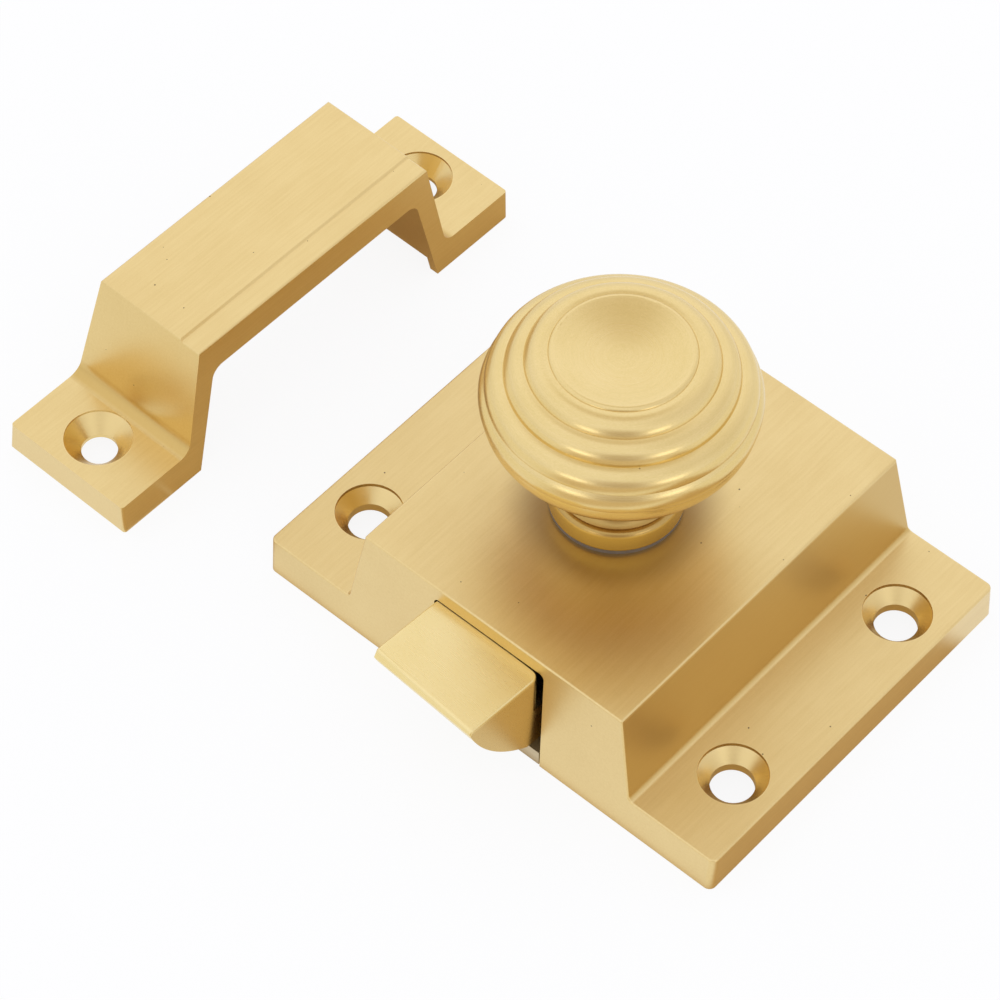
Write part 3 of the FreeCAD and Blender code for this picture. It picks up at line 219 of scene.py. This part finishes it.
# lengths in millimetres; a piece's own centre and the depths of its marks are in metres
finishes = {
    "caseBrass": {
        "marks": "brush", "density": (11, 0.3, 11), "stretch": (1, 0, 0), "anisotropic": 0.45,
        "roughness": (0.32, 0.4), "coat": 0.75, "lineDepth": 3e-6, "toothDepth": 1.5e-6,
        "holes": {"Half Spacing": (27.5, 14.8, 0), "Reach": 4.15},
        "shadeAxis": 0,
        "shades": [  # painted shade on the slopes, then in the corners below them
            {"at": (18.8, 18.95, 21.1, 21.5), "top": 17.5, "strength": 0.75},
            {"at": (20.9, 21.2, 21.9, 22.8), "top": 4.2, "strength": 0.7}],
        # painted shade and painted reflection round the knob's washer
        "ring": {"centre": (-1.32, -1.76, 0), "at": (7.6, 13.8), "above": 17.5, "strength": 0.78,
                 "tint": (0.24, 0.125, 0.03, 1)}},
    "keeperBrass": {
        "marks": "brush", "density": (11, 0.3, 11), "stretch": (1, 0, 0), "anisotropic": 0.45,
        "turn": 0.9, "centre": (-0.0588, 0.00025, 0),
        "roughness": (0.26, 0.34), "coat": 0.5, "lineDepth": 3e-6, "toothDepth": 1.5e-6,
        "holes": {"Half Spacing": (0, 27.9, 0), "Reach": 4.2},
        "shadeAxis": 1,
        # painted shade in the corners at the keeper's feet
        "shades": [{"at": (21.8, 22.3, 23.2, 23.9), "top": 6.2, "strength": 0.7}]},
    "boltBrass": {
        "marks": "brush", "density": (0.3, 11, 11), "stretch": (0, 1, 0), "anisotropic": 0.45,
        "turn": 3.5, "centre": (0, -0.0175, 0),
        "light": (0.91, 0.735, 0.345, 1), "deep": (0.86, 0.68, 0.285, 1), "shares": (0.15, 0.35, 0.5),
        "roughness": (0.25, 0.31), "lineDepth": 1e-6, "toothDepth": 1e-6,
        "shadeAxis": 0,
        # painted shade on the bolt's sides
        "shades": [{"at": (7.6, 7.75, 9.0, 10.0), "top": 15.5, "strength": 0.85}]},
    "knobBrass": {
        "marks": "lathe", "pitch": 8.0, "centre": (-0.00132, -0.00176, 0),
        "light": (0.835, 0.645, 0.285, 1), "deep": (0.765, 0.575, 0.22, 1), "shares": (0.2, 0.3, 0.5),
        "roughness": (0.22, 0.3), "coat": 0.15, "lineDepth": 1.2e-6, "toothDepth": 1.5e-6,
        "bands": [  # painted shade on the neck and the underside above it, then painted light on the collar below it
            {"at": (20.8, 21.3, 28.0, 33.5), "strength": 0.66, "tint": (0.36, 0.18, 0.012, 1)},
            {"at": (17.0, 17.5, 20.8, 21.3), "strength": 0.8, "tint": (0.97, 0.73, 0.20, 1)}]},
    # a darker, greyer copy of the brass: painted shade for the back plate, which sits in shadow inside the
    # case; the crank arm wears it too
    "plateBrass": {
        "marks": "brush", "density": (0.3, 7, 7),
        "light": (0.66, 0.55, 0.36, 1), "deep": (0.55, 0.45, 0.28, 1),
        "roughness": (0.38, 0.5), "lineDepth": 4e-6, "toothDepth": 2e-6},
    "plainSteel": {
        "marks": "lathe", "pitch": 5.0,
        "light": (0.62, 0.62, 0.6, 1), "deep": (0.5, 0.5, 0.49, 1),
        "roughness": (0.3, 0.42), "coat": 0.0, "lineDepth": 2e-6, "toothDepth": 1e-6},
    "washerGrey": {
        "marks": "lathe", "pitch": 5.0, "centre": (-0.00132, -0.00176, 0),
        "light": (0.40, 0.385, 0.38, 1), "deep": (0.30, 0.285, 0.28, 1),
        "roughness": (0.45, 0.6), "coat": 0.0, "lineDepth": 2e-6, "toothDepth": 2e-6},
}
wears = {
    "case": "caseBrass", "keeper": "keeperBrass", "latch_bolt": "boltBrass", "knob": "knobBrass",
    "back_plate": "plateBrass", "crank_arm": "plateBrass", "knob_washer": "washerGrey",
}


# millimetres about the piece's own centre, turned to its own line
def ownMillimetres(tree, look, place):
    turn = math.radians(look.get("turn", 0))
    centre = Matrix.Rotation(turn, 3, "Z") @ Vector(look.get("centre", (0, 0, 0)))
    return addNode(tree, "ShaderNodeMapping", (-900, 0), {
        "Vector": place, "Location": -mmPerMetre * centre, "Rotation": (0, 0, turn),
        "Scale": (mmPerMetre, mmPerMetre, mmPerMetre)}).outputs[0]


# tone from the streaks, the slow drift and the fine tooth together, with dark pits
def metalTone(tree, look, marks, grain):
    streakShare, driftShare, toothShare = look.get("shares", brass["shares"])
    tone = addMath(tree, (-300, 300), "MULTIPLY", marks["Streaks"], streakShare)
    tone = addMath(tree, (-120, 300), "MULTIPLY_ADD", grain["Drift"], driftShare, tone)
    tone = addMath(tree, (60, 300), "MULTIPLY_ADD", grain["Height"], toothShare, tone)
    share = addRange(tree, (240, 300), tone, *brass["toneRange"])
    deep, light = look.get("deep", brass["deep"]), look.get("light", brass["light"])
    colour = addColourMix(tree, (420, 300), share, deep, light)
    return tinted(tree, (640, 300), colour, grain["Specks"], 1, brass["speck"])


# painted shade, as a deeper tone, on the slopes, in the corners below them and on the bolt's sides
def paintedShadeSides(tree, look, colour, inMm, normal):
    axis = look["shadeAxis"]
    height = addAxes(tree, (-600, -750), inMm)[2]
    folded = addVectorMath(tree, (-400, -750), "ABSOLUTE", inMm)
    fromMiddle = addAxes(tree, (-200, -750), folded)[axis]
    facing = addVectorMath(tree, (-400, -600), "ABSOLUTE", normal)
    lean = addAxes(tree, (-200, -600), facing)[1 - axis]
    onSide = addMath(tree, (0, -750), "LESS_THAN", lean, brass["shadeLean"])
    for index, shade in enumerate(look["shades"]):
        row = -950 - 700 * index
        top, softTop = shade["top"], shade["top"] + brass["shadeSoftness"]
        across = softBand(tree, (-200, row), fromMiddle, shade["at"])
        below = addRange(tree, (0, row - 260), height, top, softTop, 1, 0)
        mask = addMath(tree, (200, row), "MULTIPLY", onSide, across)
        mask = addMath(tree, (380, row), "MULTIPLY", mask, below)
        colour = tinted(tree, (1080, 300 - 300 * index), colour, mask, shade["strength"], brass["shaded"])
    return colour


# painted shade on the case's top round the knob's washer, for the knob's dark reflection and the shade at
# its foot
def paintedShadeRing(tree, ring, colour, inMm):
    level = addVectorMath(tree, (-600, -2300), "MULTIPLY", inMm, levelOnly)
    fromKnob = addVectorMath(tree, (-400, -2300), "DISTANCE", level, ring["centre"])
    near = addRange(tree, (-200, -2300), fromKnob, *ring["at"], 1, 0, interpolation_type="SMOOTHSTEP")
    height = addAxes(tree, (-400, -2600), inMm)[2]
    above = addMath(tree, (-200, -2600), "GREATER_THAN", height, ring["above"])
    onTop = addMath(tree, (0, -2300), "MULTIPLY", near, above)
    return tinted(tree, (1300, 300), colour, onTop, ring["strength"], ring["tint"])


# painted shade on the knob's neck and underside, and painted light on its collar, set by height
def paintedShadeAndLightBands(tree, bands, colour, inMm):
    height = addAxes(tree, (-400, -3000), inMm)[2]
    for index, band in enumerate(bands):
        mask = softBand(tree, (-200, -3000 - 600 * index), height, band["at"])
        colour = tinted(tree, (1520, 300 - 300 * index), colour, mask, band["strength"], band["tint"])
    return colour


def metalMaterial(name, look):
    material = bpy.data.materials.new(name)
    tree = emptyTree(material)
    coordinates = addNode(tree, "ShaderNodeTexCoord", (-1100, 0)).outputs
    inMm = ownMillimetres(tree, look, coordinates["Object"])
    if look["marks"] == "lathe":
        marks = useGroup(tree, latheLines, (-600, 200), {"Vector": inMm, "Pitch": look["pitch"]})
    else:
        marks = useGroup(tree, brushLines, (-600, 200), {"Vector": inMm, "Density": look["density"]})
    grain = useGroup(tree, metalGrain, (-600, -150), {"Vector": inMm})
    colour = metalTone(tree, look, marks, grain)
    lineHeight = marks["Height"]
    roughness = addRange(tree, (240, -100), lineHeight, 0, 1, *look["roughness"])

    if "holes" in look:
        holes = useGroup(tree, turnedHoles, (-600, -450), {"Vector": inMm, **look["holes"]})
        inside = holes["Inside"]
        colour = tinted(tree, (860, 300), colour, inside, brass["turnedStrength"], brass["turned"])
        roughness = addMix(tree, (860, -100), inside, roughness, brass["turnedRoughness"])
        lineHeight = addMix(tree, (860, -350), inside, lineHeight, holes["Rings"])
    # painted shade on the sides and round the knob's washer, and painted shade and light in bands on the
    # knob
    if "shades" in look:
        colour = paintedShadeSides(tree, look, colour, inMm, coordinates["Normal"])
    if "ring" in look:
        colour = paintedShadeRing(tree, look["ring"], colour, inMm)
    if "bands" in look:
        colour = paintedShadeAndLightBands(tree, look["bands"], colour, inMm)

    lines = addNode(tree, "ShaderNodeBump", (1300, -400), {
        "Height": lineHeight, "Strength": 1.0, "Distance": look["lineDepth"]})
    tooth = addNode(tree, "ShaderNodeBump", (1520, -400), {
        "Height": grain["Height"], "Strength": 1.0, "Distance": look["toothDepth"],
        "Normal": lines.outputs[0]})
    shader = addNode(tree, "ShaderNodeBsdfPrincipled", (2000, 0), {
        "Base Color": colour, "Metallic": 1.0, "Roughness": roughness, "Normal": tooth.outputs[0],
        "Anisotropic": look.get("anisotropic", 0.0), "Coat Weight": look.get("coat", brass["coat"]),
        "Coat Roughness": brass["coatRoughness"], "Coat IOR": brass["coatIOR"]})
    if "stretch" in look:  # reflections are drawn out across the brush lines
        way = addNode(tree, "ShaderNodeCombineXYZ", (1740, -300), dict(enumerate(look["stretch"])))
        tree.links.new(way.outputs[0], shader.inputs["Tangent"])
    addNode(tree, "ShaderNodeOutputMaterial", (2300, 0), {"Surface": shader.outputs[0]})
    return material


made = {name: metalMaterial(name, look) for name, look in finishes.items()}
for node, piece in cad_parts.items():
    piece.data.materials.clear()
    piece.data.materials.append(made[wears.get(node, "plainSteel")])
print("materials on", len(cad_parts), "nodes")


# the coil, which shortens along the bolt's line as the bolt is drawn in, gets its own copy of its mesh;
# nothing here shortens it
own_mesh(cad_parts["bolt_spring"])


# metres; the tinted parts are painted shadow on the floor, warmed by brass bounce, which the brass mirrors
# and the camera doesn't see
# a pair is where one starts and where it is full, and a four adds where it stops being full and ends
floorLook = {
    "size": 3.0,
    "drop": 0.0001,  # below the pieces' backs
    "white": (0.93, 0.93, 0.93, 1),
    # the colour of the painted shadow on the floor, seen only in reflections
    "tan": (0.66, 0.49, 0.26, 1),
    "tanNear": (-0.0268, -0.0248),
    "tanEnd": (0.030, 0.026),
    "tanEndSlant": 0.25,
    "tanFar": (-0.047, -0.062),
    "tanFarSide": (-0.025, 0.010),
    "tanFarShare": 0.65,
    "tanSpots": [  # painted shadow right of the keeper's near foot and under its bridge
        {"x": (-0.0497, -0.0493, -0.038, -0.035), "y": (-0.038, -0.036, -0.026, -0.024), "dim": 0.0},
        {"x": (-0.071, -0.069, -0.0495, -0.048), "y": (-0.021, -0.019, 0.019, 0.021), "dim": 1.0},
    ],
    "glowForCamera": 0.9,
    "glowMirrored": 0.97,
    "glowInFront": 0.9,
    "glowBeside": 0.4,
}


# white for the camera; mirrored in the brass it is white in front and carries painted shadow, warmed by
# brass bounce, beside and under the pieces
def floorMaterial(look):
    material = bpy.data.materials.new("floorWhite")
    tree = emptyTree(material)
    coordinates = addNode(tree, "ShaderNodeTexCoord", (-900, -100)).outputs
    place = addAxes(tree, (-700, -100), coordinates["Object"])
    slanted = addMath(tree, (-900, -500), "MULTIPLY_ADD", place[0], look["tanEndSlant"], place[1])
    sources = {"tanNear": place[1], "tanFar": place[1], "tanEnd": slanted, "tanFarSide": place[0]}
    edges = {}
    for index, (name, source) in enumerate(sources.items()):
        edges[name] = addRange(tree, (-700, -300 - 200 * index), source, *look[name],
                               interpolation_type="SMOOTHSTEP")
    near = addMath(tree, (-500, -300), "MULTIPLY", edges["tanNear"], edges["tanEnd"])
    far = addMath(tree, (-500, -500), "MULTIPLY", edges["tanFar"], edges["tanFarSide"])
    paler = addMath(tree, (-400, -700), "MULTIPLY", far, look["tanFarShare"])
    beside = addMath(tree, (-300, -300), "MAXIMUM", near, paler)

    # a spot whose dim is 1 also takes the floor's glow away: painted shadow under the keeper's bridge
    lit = []
    for index, patch in enumerate(look["tanSpots"]):
        row = -1300 - 900 * index
        across = softBand(tree, (-700, row), place[0], patch["x"])
        along = softBand(tree, (-450, row), place[1], patch["y"])
        inPatch = addMath(tree, (-200, row), "MULTIPLY", across, along)
        beside = addMath(tree, (0, row), "MAXIMUM", beside, inPatch)
        lit.append(addMath(tree, (0, row - 200), "MULTIPLY_ADD", inPatch, -patch["dim"], 1))
    # the floor glows less where it carries painted shadow
    mirroredGlow = addRange(tree, (-700, 600), beside, 0, 1, look["glowInFront"], look["glowBeside"])
    for index, share in enumerate(lit):
        mirroredGlow = addMath(tree, (200 + 200 * index, 600), "MULTIPLY", mirroredGlow, share)

    ray = addNode(tree, "ShaderNodeLightPath", (-900, 300)).outputs
    inMirror = addMath(tree, (-500, 500), "MULTIPLY", ray["Is Glossy Ray"], mirroredGlow)
    glowShare = addMath(tree, (-300, 300), "MULTIPLY_ADD", ray["Is Camera Ray"], look["glowForCamera"],
                        inMirror)
    notCamera = addMath(tree, (-500, 100), "SUBTRACT", 1, ray["Is Camera Ray"])
    tanned = addMath(tree, (-300, 0), "MULTIPLY", beside, notCamera)
    paper = addNode(tree, "ShaderNodeBsdfDiffuse", (300, 100), {
        "Color": addColourMix(tree, (-50, 100), tanned, look["white"], look["tan"])})
    glow = addNode(tree, "ShaderNodeEmission", (300, -100), {
        "Color": addColourMix(tree, (-50, -150), tanned, plainWhite, look["tan"]),
        "Strength": addRange(tree, (50, -400), ray["Is Camera Ray"], 0, 1, look["glowMirrored"], 1)})
    blend = addNode(tree, "ShaderNodeMixShader", (550, 0), {
        0: glowShare, 1: paper.outputs[0], 2: glow.outputs[0]})
    addNode(tree, "ShaderNodeOutputMaterial", (800, 0), {"Surface": blend.outputs[0]})
    return material


bpy.ops.mesh.primitive_plane_add(size=floorLook["size"], location=(0, 0, -floorLook["drop"]))
floor = bpy.context.object
floor.name = "floor"
floor.data.materials.append(floorMaterial(floorLook))


# degrees; a patch starts at its outer angle and is full at its inner one, and its gain is added to the sky
room = {
    "sky": (1.01, 1.03, 1.16),
    "patches": [
        {"azimuth": 128, "height": 50, "outer": 55, "inner": 15, "gain": (0.06, 0.06, 0.06)},
        {"azimuth": -125, "height": 50, "outer": 40, "inner": 10, "gain": (0.02, 0.02, 0.02)},
        {"azimuth": 130, "height": 73, "outer": 20, "inner": 7, "gain": (-0.28, -0.36, -0.55)},
        {"azimuth": -50, "height": 15, "outer": 28, "inner": 8, "gain": (-0.36, -0.44, -0.6)},
        {"azimuth": 40, "height": 45, "outer": 45, "inner": 10, "gain": (-0.13, -0.16, -0.22)},
        {"azimuth": 0, "height": -90, "outer": 118, "inner": 88, "gain": (-0.09, -0.09, -0.09)},
    ],
}


def direction(azimuth, height):
    turn, tilt = math.radians(azimuth), math.radians(height)
    return Vector((math.cos(turn) * math.cos(tilt), math.sin(turn) * math.cos(tilt), math.sin(tilt)))


# pale room with a few soft patches; plain white for the camera
def makeRoom(look):
    world = bpy.data.worlds.new("studio")
    bpy.context.scene.world = world
    tree = emptyTree(world)
    way = addNode(tree, "ShaderNodeTexCoord", (-900, -100)).outputs["Generated"]
    light = addNode(tree, "ShaderNodeCombineXYZ", (-900, 100), dict(enumerate(look["sky"]))).outputs[0]
    for index, patch in enumerate(look["patches"]):
        row = -100 - 200 * index
        middle = direction(patch["azimuth"], patch["height"])
        outer, inner = math.cos(math.radians(patch["outer"])), math.cos(math.radians(patch["inner"]))
        towards = addVectorMath(tree, (-600, row), "DOT_PRODUCT", way, middle)
        amount = addRange(tree, (-400, row), towards, outer, inner, interpolation_type="SMOOTHSTEP")
        light = addVectorMath(tree, (-200, row), "MULTIPLY_ADD", amount, patch["gain"], light)
    sky = addNode(tree, "ShaderNodeBackground", (250, 100), {"Color": light, "Strength": 1.0})
    white = addNode(tree, "ShaderNodeBackground", (250, -100), {"Color": plainWhite, "Strength": 1.0})
    ray = addNode(tree, "ShaderNodeLightPath", (-300, 300)).outputs
    blend = addNode(tree, "ShaderNodeMixShader", (550, 0), {
        0: ray["Is Camera Ray"], 1: sky.outputs[0], 2: white.outputs[0]})
    addNode(tree, "ShaderNodeOutputWorld", (800, 0), {"Surface": blend.outputs[0]})


makeRoom(room)


lamps = [
    {"name": "leftLamp", "azimuth": -82, "height": 9, "distance": 1.2, "size": (0.4, 0.3), "watts": 0.35},
    {"name": "rightLamp", "azimuth": -14, "height": 12, "distance": 1.2, "size": (0.4, 0.3), "watts": 0.35},
]
for lamp in lamps:
    lampData = bpy.data.lights.new(lamp["name"], "AREA")
    lampData.shape = "RECTANGLE"
    lampData.size, lampData.size_y = lamp["size"]
    lampData.energy = lamp["watts"]
    lampObject = bpy.data.objects.new(lamp["name"], lampData)
    bpy.context.collection.objects.link(lampObject)
    away = direction(lamp["azimuth"], lamp["height"])
    lampObject.location = away * lamp["distance"]
    lampObject.rotation_euler = (-away).to_track_quat("-Z", "Y").to_euler()


camera = {
    "lens": 155.235,
    "sensor": 36.0,
    "clip": (0.01, 20.0),
    "place": (0.180876, -0.233999, 0.407786),
    "angles": (37.0708, -0.5113, 41.3477),
}
lensData = bpy.data.cameras.new("camera")
lensData.sensor_width = camera["sensor"]
lensData.lens = camera["lens"]
lensData.clip_start, lensData.clip_end = camera["clip"]
eye = bpy.data.objects.new("camera", lensData)
bpy.context.collection.objects.link(eye)
eye.location = camera["place"]
eye.rotation_euler = Euler([math.radians(a) for a in camera["angles"]])
bpy.context.scene.camera = eye
bpy.context.scene.view_settings.view_transform = "Standard"
print("floor, lamps and camera set")
